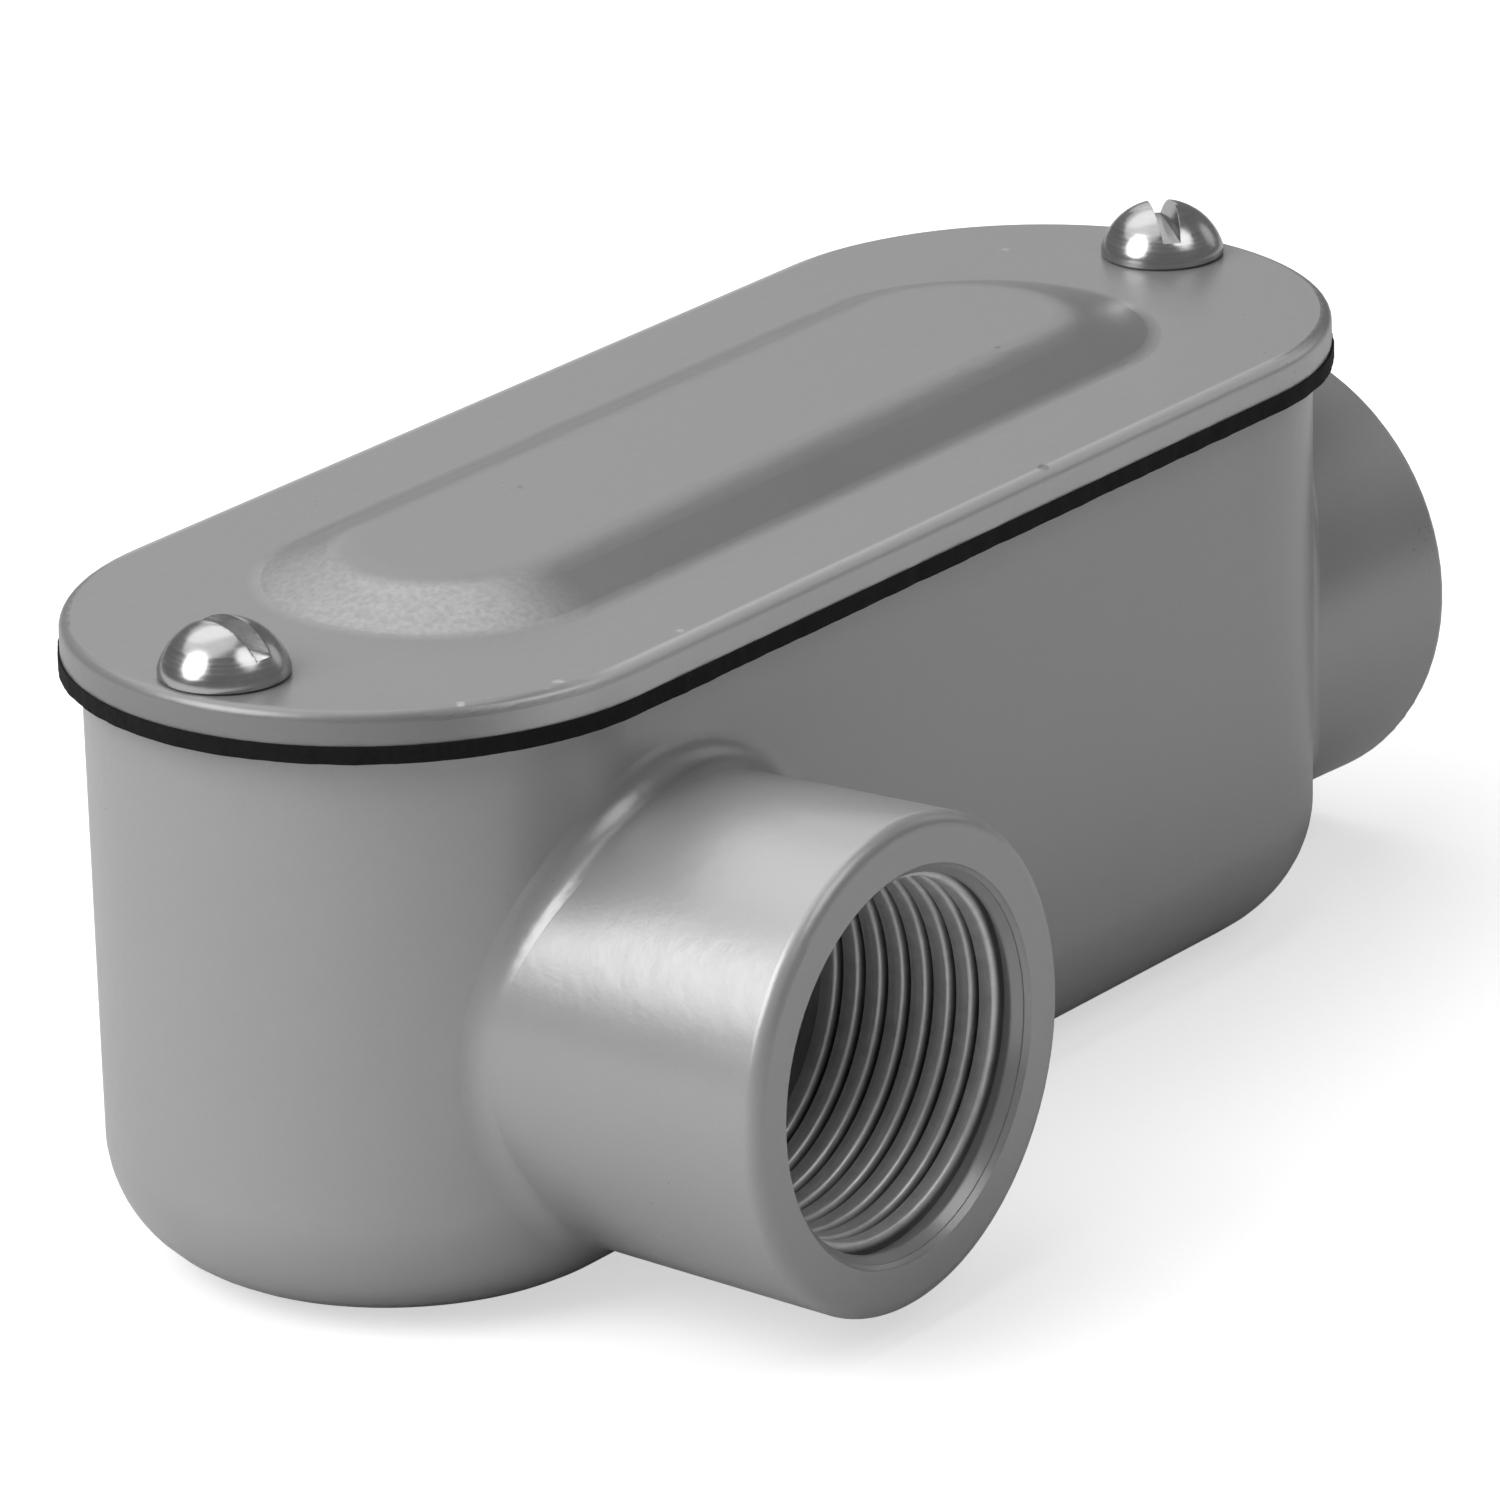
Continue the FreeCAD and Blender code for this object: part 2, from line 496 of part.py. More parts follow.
def makeScrew(doc, label, value, side, slotAngle):
    """A slotted round-head machine screw; its own origin is under the head, on its axis."""
    body = newBody(doc, label)
    section = newSketch(body, label + "Section", role="XZ_Plane")
    headRadius, headEdge, headHeight = value["head_radius"], value["head_edge"], value["head_height"]
    shank, length, bevel = value["shank_radius"], value["shank_length"], value["shank_bevel"]
    dome = (headRadius ** 2 + (headHeight - headEdge) ** 2) / (2 * (headHeight - headEdge))
    edgeAngle = math.degrees(math.asin((headEdge - headHeight + dome) / dome))
    points = [(0, headHeight), (0, -length), (shank - bevel, -length), (shank, bevel - length), (shank, 0),
              (headRadius, 0), (headRadius, headEdge)]
    edges = [section.addGeometry(line(a, b)) for a, b in zip(points, points[1:])]
    crown = section.addGeometry(arc((0, headHeight - dome), dome, edgeAngle, 90))
    for first, second in zip(edges, edges[1:]):
        section.addConstraint(Sketcher.Constraint("Coincident", first, 2, second, 1))
    section.addConstraint(Sketcher.Constraint("Coincident", edges[-1], 2, crown, 1))
    section.addConstraint(Sketcher.Constraint("Coincident", crown, 2, edges[0], 1))
    axis, tip, tipBevel, wall, under, rim = edges
    section.addConstraint(Sketcher.Constraint("PointOnObject", axis, 1, -2))
    for upright in (axis, wall, rim):
        section.addConstraint(Sketcher.Constraint("Vertical", upright))
    for level in (tip, under):
        section.addConstraint(Sketcher.Constraint("Horizontal", level))
    section.addConstraint(Sketcher.Constraint("PointOnObject", under, 1, -1))
    section.addConstraint(Sketcher.Constraint("PointOnObject", crown, 3, -2))
    bind(section, "headHeight", "dims.head_height", "DistanceY", -1, 1, axis, 1, headHeight)
    bind(section, "length", "dims.shank_length", "DistanceY", axis, 2, -1, 1, length)
    bind(section, "shankRadius", "dims.shank_radius", "DistanceX", -1, 1, under, 1, shank)
    bind(section, "bevelWidth", "dims.shank_bevel", "DistanceX", tipBevel, 1, tipBevel, 2, bevel)
    bind(section, "bevelHeight", "dims.shank_bevel", "DistanceY", tipBevel, 1, tipBevel, 2, bevel)
    bind(section, "headRadius", "dims.head_radius", "DistanceX", -1, 1, under, 2, headRadius)
    bind(section, "headEdge", "dims.head_edge", "DistanceY", rim, 1, rim, 2, headEdge)
    turned = body.newObject("PartDesign::Revolution", label + "Turned")
    turned.Profile = section
    turned.ReferenceAxis = (section, ["V_Axis"])
    turned.Angle = 360.0
    doc.recompute()

    slotOutline = newSketch(body, label + "Slot", origin=(None, None, "dims.head_height"))
    halfLength, halfWidth = headRadius + 1.0, value["slot_width"] / 2
    corners = [(-halfLength, -halfWidth), (halfLength, -halfWidth),
               (halfLength, halfWidth), (-halfLength, halfWidth)]
    sides = [slotOutline.addGeometry(line(a, b)) for a, b in zip(corners, corners[1:] + corners[:1])]
    for first, second in zip(sides, sides[1:] + sides[:1]):
        slotOutline.addConstraint(Sketcher.Constraint("Coincident", first, 2, second, 1))
    front, right, rear, left = sides
    for level in (front, rear):
        slotOutline.addConstraint(Sketcher.Constraint("Horizontal", level))
    for upright in (right, left):
        slotOutline.addConstraint(Sketcher.Constraint("Vertical", upright))
    slotOutline.addConstraint(Sketcher.Constraint("Symmetric", front, 1, rear, 1, -1, 1))
    bind(slotOutline, "slotWidth", "dims.slot_width", "DistanceY", right, 1, right, 2, 2 * halfWidth)
    bind(slotOutline, "slotLength", "2 * (dims.head_radius + 1)", "DistanceX", front, 1, front, 2,
         2 * halfLength)
    slotted = body.newObject("PartDesign::Pocket", label + "Slotted")
    slotted.Profile = slotOutline
    slotted.setExpression("Length", "dims.slot_depth")
    cutsFrom(doc, slotted, turned.Shape)

    body.Placement = FreeCAD.Placement(Vector(0, 0, 0), Rotation(Z_AXIS, slotAngle))
    body.setExpression(".Placement.Base.x", f"{side} * ({SCREW_X})")
    body.setExpression(".Placement.Base.z", COVER_TOP)
    return body


def main():
    os.makedirs("parts", exist_ok=True)
    doc = FreeCAD.newDocument("conduit_body")
    makeSheet(doc)
    value = {alias: number for alias, number, meaning in DIMENSIONS}
    bodies = [
        makeCasting(doc, value),
        makeGasket(doc),
        makeCover(doc, value),
        makeScrew(doc, "cover_screw_near", value, -1, value["near_slot_angle"]),
        makeScrew(doc, "cover_screw_far", value, 1, value["far_slot_angle"]),
    ]
    doc.recompute()
    for item in doc.Objects:
        if "Invalid" in item.State or "Error" in item.State:
            raise RuntimeError(f"{item.Name} failed: {item.State}")
    for body in bodies:
        if body.Shape.isNull() or not body.Shape.isValid():
            raise RuntimeError(f"{body.Label} has no valid shape")
        body.Shape.exportStep(f"parts/{body.Label}.step")
        box = body.Shape.BoundBox
        print(body.Label, "solids", len(body.Shape.Solids), "volume", round(body.Shape.Volume, 1),
              "x", round(box.XMin, 2), round(box.XMax, 2), "z", round(box.ZMin, 2), round(box.ZMax, 2))


main()
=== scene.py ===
import json
import math

import bmesh
import bpy
from mathutils import Matrix, Vector


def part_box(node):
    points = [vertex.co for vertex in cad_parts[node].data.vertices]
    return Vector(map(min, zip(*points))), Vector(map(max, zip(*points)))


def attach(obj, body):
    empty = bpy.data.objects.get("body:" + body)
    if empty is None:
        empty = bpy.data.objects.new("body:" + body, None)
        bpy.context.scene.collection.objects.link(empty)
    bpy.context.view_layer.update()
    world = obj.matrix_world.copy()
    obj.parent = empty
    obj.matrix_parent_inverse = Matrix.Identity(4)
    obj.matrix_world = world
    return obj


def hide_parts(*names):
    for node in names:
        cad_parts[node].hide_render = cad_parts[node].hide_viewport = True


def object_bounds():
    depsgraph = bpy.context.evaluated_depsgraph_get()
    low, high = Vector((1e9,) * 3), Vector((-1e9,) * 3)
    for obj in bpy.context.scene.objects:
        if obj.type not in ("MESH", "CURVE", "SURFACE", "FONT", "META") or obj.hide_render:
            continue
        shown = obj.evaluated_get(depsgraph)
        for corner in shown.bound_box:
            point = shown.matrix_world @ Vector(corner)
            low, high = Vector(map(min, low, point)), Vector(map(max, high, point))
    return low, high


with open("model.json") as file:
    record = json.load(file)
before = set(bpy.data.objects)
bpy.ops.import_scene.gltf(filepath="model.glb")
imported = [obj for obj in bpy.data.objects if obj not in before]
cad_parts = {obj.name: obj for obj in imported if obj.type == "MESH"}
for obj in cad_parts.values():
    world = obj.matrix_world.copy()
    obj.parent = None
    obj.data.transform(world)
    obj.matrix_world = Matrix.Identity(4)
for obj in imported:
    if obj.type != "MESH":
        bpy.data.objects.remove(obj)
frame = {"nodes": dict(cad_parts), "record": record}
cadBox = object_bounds()
nodes = frame["nodes"]
mounts = {mount["name"]: mount for mount in frame["record"]["mounts"]}
mm = 0.001
print("frame loaded:", ", ".join(sorted(nodes)))


# helpers for node trees

def addNode(tree, kind, inputs=None, **settings):
    node = tree.nodes.new(kind)
    for name, value in settings.items():
        setattr(node, name, value)
    for name, value in (inputs or {}).items():
        if isinstance(value, bpy.types.NodeSocket):
            tree.links.new(value, node.inputs[name])
        else:
            node.inputs[name].default_value = value
    return node


def calc(tree, operation, first, second=0.0, third=0.0, clamp=False):
    node = tree.nodes.new("ShaderNodeMath")
    node.operation, node.use_clamp = operation, clamp
    for socket, value in zip(node.inputs, (first, second, third)):
        if isinstance(value, bpy.types.NodeSocket):
            tree.links.new(value, socket)
        else:
            socket.default_value = value
    return node.outputs[0]


def vectorCalc(tree, operation, first, second=None):
    inputs = {0: first} if second is None else {0: first, 1: second}
    outputs = addNode(tree, "ShaderNodeVectorMath", inputs, operation=operation).outputs
    return outputs["Value" if operation in ("DISTANCE", "DOT_PRODUCT", "LENGTH") else "Vector"]


def scaleVector(tree, vector, factor):
    inputs = {0: vector, "Scale": factor}
    return addNode(tree, "ShaderNodeVectorMath", inputs, operation="SCALE").outputs["Vector"]


def separate(tree, vector):
    return addNode(tree, "ShaderNodeSeparateXYZ", {"Vector": vector}).outputs


def addNoise(tree, vector, scale, detail, roughness=0.5):
    noise = addNode(tree, "ShaderNodeTexNoise",
                    {"Vector": vector, "Scale": scale, "Detail": detail, "Roughness": roughness})
    return noise.outputs["Fac"]


def softStep(tree, value, start, end):
    step = addNode(tree, "ShaderNodeMapRange", {"Value": value, "From Min": start, "From Max": end},
                   interpolation_type="SMOOTHSTEP")
    return step.outputs["Result"]


def addGroup(tree, group, coords, values):
    node = addNode(tree, "ShaderNodeGroup", node_tree=group)
    tree.links.new(coords, node.inputs["Vector"])
    for label, value in values.items():
        node.inputs[label].default_value = value
    return node.outputs


def newTree(name, kind, inputs, outputs):
    tree = bpy.data.node_groups.new(name, kind)
    for label, socketKind, value in inputs:
        socket = tree.interface.new_socket(label, in_out="INPUT", socket_type="NodeSocket" + socketKind)
        if value is not None:
            socket.default_value = value
    for label, socketKind in outputs:
        tree.interface.new_socket(label, in_out="OUTPUT", socket_type="NodeSocket" + socketKind)
    return tree, tree.nodes.new("NodeGroupInput").outputs, tree.nodes.new("NodeGroupOutput").inputs


def addObject(name, data):
    made = bpy.data.objects.new(name, data)
    bpy.context.collection.objects.link(made)
    return made


def standing(place, upwards):
    # puts the origin there and turns Z to that direction
    return Matrix.Translation(place) @ upwards.to_track_quat("Z", "Y").to_matrix().to_4x4()


def smoothMesh(mesh, angle):
    mesh.polygons.foreach_set("use_smooth", [True] * len(mesh.polygons))
    mesh.set_sharp_from_angle(angle=math.radians(angle))


def runTree(name, tree, values, smoothAngle):
    # an empty mesh carries the tree; the finished mesh is taken from it and the modifier goes
    carrier = addObject(name + "Carrier", bpy.data.meshes.new(name + "Carrier"))
    modifier = carrier.modifiers.new("tree", "NODES")
    modifier.node_group = tree
    for item in tree.interface.items_tree:
        if item.item_type == "SOCKET" and item.in_out == "INPUT" and item.name in values:
            modifier[item.identifier] = values[item.name]
    return bakeObject(carrier, name, smoothAngle)


def bakeObject(carrier, name, smoothAngle):
    # modifiers become a plain mesh on a new object at the origin
    bpy.context.view_layer.update()
    evaluated = carrier.evaluated_get(bpy.context.evaluated_depsgraph_get())
    mesh = bpy.data.meshes.new_from_object(evaluated)
    mesh.name = name
    smoothMesh(mesh, smoothAngle)
    made = addObject(name, mesh)
    bpy.data.objects.remove(carrier)
    return made


# pattern groups shared by the materials

def makePaintGroup():
    # sprayed paint: orange peel, fine grain and slow changes of tone
    tree, given, out = newTree("sprayedPaint", "ShaderNodeTree", [
        ("Vector", "Vector", None), ("Tone", "Color", (0.3, 0.3, 0.3, 1)), ("Mottle", "Float", 0.1),
        ("Peel Size", "Float", 1.2 * mm), ("Grain Size", "Float", 0.25 * mm), ("Gloss", "Float", 0.4),
    ], [("Color", "Color"), ("Roughness", "Float"), ("Height", "Float")])
    peel = addNoise(tree, given["Vector"], calc(tree, "DIVIDE", 1.0, given["Peel Size"]), 1.5, 0.45)
    grain = addNoise(tree, given["Vector"], calc(tree, "DIVIDE", 1.0, given["Grain Size"]), 2.0, 0.6)
    cloud = addNoise(tree, given["Vector"], 55.0, 3.0, 0.55)
    fine = calc(tree, "MULTIPLY_ADD", grain, 0.6, -0.3)
    change = calc(tree, "ADD", fine, calc(tree, "SUBTRACT", cloud, 0.5))
    bright = calc(tree, "MULTIPLY_ADD", change, given["Mottle"], 1.0)
    tree.links.new(scaleVector(tree, given["Tone"], bright), out["Color"])
    tree.links.new(calc(tree, "MULTIPLY_ADD", change, 0.12, given["Gloss"]), out["Roughness"])
    height = calc(tree, "MULTIPLY_ADD", peel, 0.75, calc(tree, "MULTIPLY", grain, 0.25))
    tree.links.new(height, out["Height"])
    return tree


def newMaterial(name, **plain):
    material = bpy.data.materials.new(name)
    material.use_nodes = True
    shader = material.node_tree.nodes["Principled BSDF"]
    for label, value in plain.items():
        shader.inputs[label.replace("_", " ")].default_value = value
    coords = addNode(material.node_tree, "ShaderNodeTexCoord")
    return material, material.node_tree, shader, coords.outputs["Object"]


def addBump(tree, shader, height, depth):
    bump = addNode(tree, "ShaderNodeBump", {"Height": height, "Distance": depth, "Strength": 1.0})
    tree.links.new(bump.outputs["Normal"], shader.inputs["Normal"])


def grey(level):
    return (level, level, level, 1)


paintGroup = makePaintGroup()


def makePaint(name, finish):
    material, tree, shader, coords = newMaterial(name, Metallic=finish["metallic"], IOR=1.5)
    skin = addGroup(tree, paintGroup, coords, {
        "Tone": grey(finish["tone"]), "Mottle": finish["mottle"], "Peel Size": finish["peelSize"],
        "Grain Size": finish["grainSize"], "Gloss": finish["gloss"]})
    tree.links.new(skin["Color"], shader.inputs["Base Color"])
    tree.links.new(skin["Roughness"], shader.inputs["Roughness"])
    addBump(tree, shader, skin["Height"], finish["bumpDepth"])
    return material


castingFinish = {
    "tone": 0.40,
    "metallic": 0.35,
    "gloss": 0.31,                 # roughness
    "mottle": 0.10,
    "peelSize": 1.3 * mm,
    "grainSize": 0.28 * mm,
    "bumpDepth": 0.03 * mm,
}
coverFinish = dict(castingFinish, tone=0.25)
castingPaint = makePaint("castingPaint", castingFinish)
coverPaint = makePaint("coverPaint", coverFinish)


def makeObroundGroup():
    # distance from the spine of a full-round outline, as a soft step between two distances
    tree, given, out = newTree("obroundStep", "ShaderNodeTree", [
        ("Vector", "Vector", None), ("Spine", "Float", 35 * mm),
        ("From", "Float", 10 * mm), ("To", "Float", 12 * mm),
    ], [("Mask", "Float")])
    place = separate(tree, given["Vector"])
    beyond = calc(tree, "SUBTRACT", calc(tree, "ABSOLUTE", place["X"]), given["Spine"])
    beyond = calc(tree, "MAXIMUM", beyond, 0.0)
    square = calc(tree, "MULTIPLY_ADD", beyond, beyond, calc(tree, "MULTIPLY", place["Y"], place["Y"]))
    tree.links.new(softStep(tree, calc(tree, "SQRT", square), given["From"], given["To"]), out["Mask"])
    return tree


def makeNickGroup():
    # one small mark with a ragged outline
    tree, given, out = newTree("paintNick", "ShaderNodeTree", [
        ("Vector", "Vector", None), ("Place", "Vector", (0, 0, 0)), ("Size", "Float", 0.5 * mm),
    ], [("Mask", "Float")])
    ragged = addNoise(tree, given["Vector"], 2500.0, 2.0)
    away = vectorCalc(tree, "DISTANCE", given["Vector"], given["Place"])
    reach = calc(tree, "MULTIPLY", given["Size"], calc(tree, "MULTIPLY_ADD", ragged, 1.4, 0.3))
    tree.links.new(softStep(tree, calc(tree, "DIVIDE", away, reach), 1.1, 0.6), out["Mask"])
    return tree


obroundGroup = makeObroundGroup()
nickGroup = makeNickGroup()

coverSheenAndNicks = {
    "rimSpine": 38.76 * mm,        # half the straight part of the outline
    "rimFrom": 20.2 * mm,
    "rimTo": 21.0 * mm,
    # painted highlight: the rim's colour is lifted to stand in for light on its rounded edge
    "rimHighlight": 1.25,
    "panelSpine": 30.0 * mm,
    "panelInner": 6.5 * mm,
    "panelOuter": 13.4 * mm,
    "panelSoft": 1.5 * mm,
    "sheenFrom": -29 * mm,         # along the cover, towards the closed end
    "sheenTo": -36 * mm,
    # painted sheen: the end slope's colour is lifted, with speckled painted glints, to stand in for light
    # falling on it
    "slopeSheen": 0.34,
    "sheenSpeckle": 0.8,
    "sheenSpeckleScale": 2200.0,
    "nicks": (                     # place in mm, radius in mm, change of tone
        ((9.6, -20.6, 45.1), 0.50, -0.75),
        ((-42.8, -19.2, 45.0), 0.45, 0.6),
        ((-49.5, -16.4, 44.9), 0.40, 0.7),
        ((-30.6, -19.9, 45.1), 0.35, 0.5),
        ((-7.5, -10.6, 46.5), 0.40, -0.35),
        ((-44.1, -19.4, 44.8), 0.35, 0.5),
        ((24.0, -6.5, 47.2), 0.30, -0.3),
        ((-18.0, 3.0, 47.2), 0.28, -0.3),
        ((48.0, 10.0, 45.1), 0.35, 0.35),
    ),
}


def addCoverSheenAndNicks(material, sheenAndNicks):
    # painted highlight on the rim, painted sheen with speckled glints on the end slope towards the closed end,
    # and a few nicks
    tree = material.node_tree
    shader = tree.nodes["Principled BSDF"]
    coords = next(node for node in tree.nodes if node.bl_idname == "ShaderNodeTexCoord").outputs["Object"]

    def band(spine, start, end):
        return addGroup(tree, obroundGroup, coords, {"Spine": spine, "From": start, "To": end})["Mask"]

    # mask of the rim, where the painted highlight goes
    rim = band(sheenAndNicks["rimSpine"], sheenAndNicks["rimFrom"], sheenAndNicks["rimTo"])
    inside = band(sheenAndNicks["panelSpine"], sheenAndNicks["panelInner"], sheenAndNicks["panelInner"] + sheenAndNicks["panelSoft"])
    outside = band(sheenAndNicks["panelSpine"], sheenAndNicks["panelOuter"] - sheenAndNicks["panelSoft"], sheenAndNicks["panelOuter"])
    slope = calc(tree, "SUBTRACT", inside, outside, clamp=True)
    closedEnd = addNode(tree, "ShaderNodeMapRange", {
        "Value": separate(tree, coords)["X"], "From Min": sheenAndNicks["sheenFrom"], "From Max": sheenAndNicks["sheenTo"]})
    slope = calc(tree, "MULTIPLY", slope, closedEnd.outputs["Result"])
    # painted sheen with speckled painted glints on the end slope
    sheenSpeckle = calc(tree, "SUBTRACT", addNoise(tree, coords, sheenAndNicks["sheenSpeckleScale"], 3.0), 0.5)
    sheenSpeckle = calc(tree, "MULTIPLY_ADD", sheenSpeckle, sheenAndNicks["sheenSpeckle"], sheenAndNicks["slopeSheen"])
    # the rim's painted highlight and the slope's painted sheen lift the colour here
    change = calc(tree, "MULTIPLY_ADD", rim, sheenAndNicks["rimHighlight"], calc(tree, "MULTIPLY", slope, sheenSpeckle))
    for spot, size, shift in sheenAndNicks["nicks"]:
        place = tuple(axis * mm for axis in spot)
        nick = addGroup(tree, nickGroup, coords, {"Place": place, "Size": size * mm})
        change = calc(tree, "MULTIPLY_ADD", nick["Mask"], shift, change)
    colour = shader.inputs["Base Color"].links[0].from_socket
    tree.links.new(scaleVector(tree, colour, calc(tree, "ADD", change, 1.0)), shader.inputs["Base Color"])


addCoverSheenAndNicks(coverPaint, coverSheenAndNicks)


def makeTurnedGroup():
    # fine tool lines round an axis, broken up by a slow drift and a fine stain
    tree, given, out = newTree("turnedMetal", "ShaderNodeTree", [
        ("Vector", "Vector", None), ("Axis", "Vector", (0, 1, 0)), ("Tone", "Color", (0.5, 0.5, 0.5, 1)),
        ("Line Size", "Float", 0.12 * mm), ("Contrast", "Float", 0.2), ("Gloss", "Float", 0.35),
    ], [("Color", "Color"), ("Roughness", "Float"), ("Height", "Float")])
    drift = addNoise(tree, given["Vector"], 260.0, 2.0)
    along = vectorCalc(tree, "DOT_PRODUCT", given["Vector"], given["Axis"])
    wander = calc(tree, "MULTIPLY_ADD", drift, 0.25 * mm, along)
    lines = addNode(tree, "ShaderNodeTexNoise", {
        "W": calc(tree, "DIVIDE", wander, given["Line Size"]), "Scale": 1.0, "Detail": 2.0},
        noise_dimensions="1D").outputs["Fac"]
    stain = addNoise(tree, given["Vector"], 900.0, 3.0, 0.6)
    change = calc(tree, "ADD", calc(tree, "SUBTRACT", lines, 0.5), calc(tree, "SUBTRACT", stain, 0.5))
    bright = calc(tree, "MULTIPLY_ADD", change, given["Contrast"], 1.0)
    tree.links.new(scaleVector(tree, given["Tone"], bright), out["Color"])
    tree.links.new(calc(tree, "MULTIPLY_ADD", change, 0.15, given["Gloss"]), out["Roughness"])
    tree.links.new(lines, out["Height"])
    return tree


def makeGrooveGroup():
    # how deep a point lies in a thread: 0 on the crest, 1 at the root, measured from the axis of the bore
    tree, given, out = newTree("grooveDepth", "ShaderNodeTree", [
        ("Vector", "Vector", None), ("Centre", "Vector", (0, 0, 0)), ("Axis", "Vector", (0, 1, 0)),
        ("Crest", "Float", 12 * mm), ("Root", "Float", 13 * mm), ("Taper", "Float", 0.03),
    ], [("Mask", "Float")])
    away = vectorCalc(tree, "SUBTRACT", given["Vector"], given["Centre"])
    radius = vectorCalc(tree, "LENGTH", vectorCalc(tree, "CROSS_PRODUCT", away, given["Axis"]))
    inwards = vectorCalc(tree, "DOT_PRODUCT", away, given["Axis"])
    level = calc(tree, "MULTIPLY_ADD", inwards, given["Taper"], radius)
    tree.links.new(softStep(tree, level, given["Crest"], given["Root"]), out["Mask"])
    return tree


turnedGroup = makeTurnedGroup()
grooveGroup = makeGrooveGroup()


def makeTurnedMetal(name, finish, axis, grooves=None):
    material, tree, shader, coords = newMaterial(name, Metallic=finish["metallic"])
    skin = addGroup(tree, turnedGroup, coords, {
        "Axis": axis, "Tone": grey(finish["tone"]), "Line Size": finish["lineSize"],
        "Contrast": finish["contrast"], "Gloss": finish["gloss"]})
    colour = skin["Color"]
    if grooves:
        groove = addGroup(tree, grooveGroup, coords, grooves)["Mask"]
        # painted shade in the grooves: darker towards the thread root
        colour = scaleVector(tree, colour, calc(tree, "MULTIPLY_ADD", groove, -finish["grooveShade"], 1.0))
    tree.links.new(colour, shader.inputs["Base Color"])
    tree.links.new(skin["Roughness"], shader.inputs["Roughness"])
    addBump(tree, shader, skin["Height"], finish["bumpDepth"])
    return material


# each hub with the distance of its face, where the bore starts

sideHub = (mounts["side_hub"], -cadBox[0][1])
endHub = (mounts["end_hub"], cadBox[1][0])


def hubPlace(hub, depth=0.0):
    # a point on the bore's axis, that far in from the face, and the way out
    mount, faceDistance = hub
    outwards = Vector(mount["axis"])
    centre = Vector(mount["pos_m"])
    return centre + outwards * (faceDistance - depth - centre.dot(outwards)), outwards


threadFinish = {
    "tone": 0.80,
    "metallic": 0.55,
    "gloss": 0.44,
    "contrast": 0.40,
    "lineSize": 0.11 * mm,
    "bumpDepth": 0.006 * mm,
    # painted shade: the thread roots are darkened to stand in for shade in the grooves
    "grooveShade": 0.8,                   # how dark the grooves are
    "crest": 12.50 * mm,
    "root": 13.05 * mm,
    "taper": 1 / 32,               # on the radius
}
platingFinish = {
    "tone": 0.50,
    "metallic": 1.0,
    "gloss": 0.22,
    "contrast": 0.14,
    "lineSize": 0.25 * mm,
    "bumpDepth": 0.004 * mm,
}


def makeThreadMetal(name, hub, finish):
    centre, outwards = hubPlace(hub)
    grooves = {"Centre": tuple(centre), "Axis": tuple(-outwards), "Crest": finish["crest"],
               "Root": finish["root"], "Taper": finish["taper"]}
    return makeTurnedMetal(name, finish, tuple(abs(part) for part in outwards), grooves)


sideThreadMetal = makeThreadMetal("cutThreadSide", sideHub, threadFinish)
endThreadMetal = makeThreadMetal("cutThreadEnd", endHub, threadFinish)
plating = makeTurnedMetal("screwPlating", platingFinish, (0, 0, 1))

rubberFinish = {
    "gloss": 0.8,
    "ior": 1.35,
    "darkest": 0.002,
    "lightest": 0.006,
    "grainScale": 2200.0,
    "bumpDepth": 0.03 * mm,
}


def makeRubber(name, finish):
    material, tree, shader, coords = newMaterial(name, Roughness=finish["gloss"], IOR=finish["ior"])
    grain = addNoise(tree, coords, finish["grainScale"], 3.0)
    shade = addNode(tree, "ShaderNodeMapRange", {
        "Value": grain, "From Min": 0.3, "From Max": 0.7,
        "To Min": finish["darkest"], "To Max": finish["lightest"]})
    tree.links.new(shade.outputs["Result"], shader.inputs["Base Color"])
    addBump(tree, shader, grain, finish["bumpDepth"])
    return material


rubber = makeRubber("gasketRubber", rubberFinish)
print("materials made")


def endTree(tree, geometry, material, out):
    real = addNode(tree, "GeometryNodeRealizeInstances", {"Geometry": geometry})
    finish = addNode(tree, "GeometryNodeSetMaterial", {
        "Geometry": real.outputs["Geometry"], "Material": material})
    tree.links.new(finish.outputs["Geometry"], out["Geometry"])
    return tree


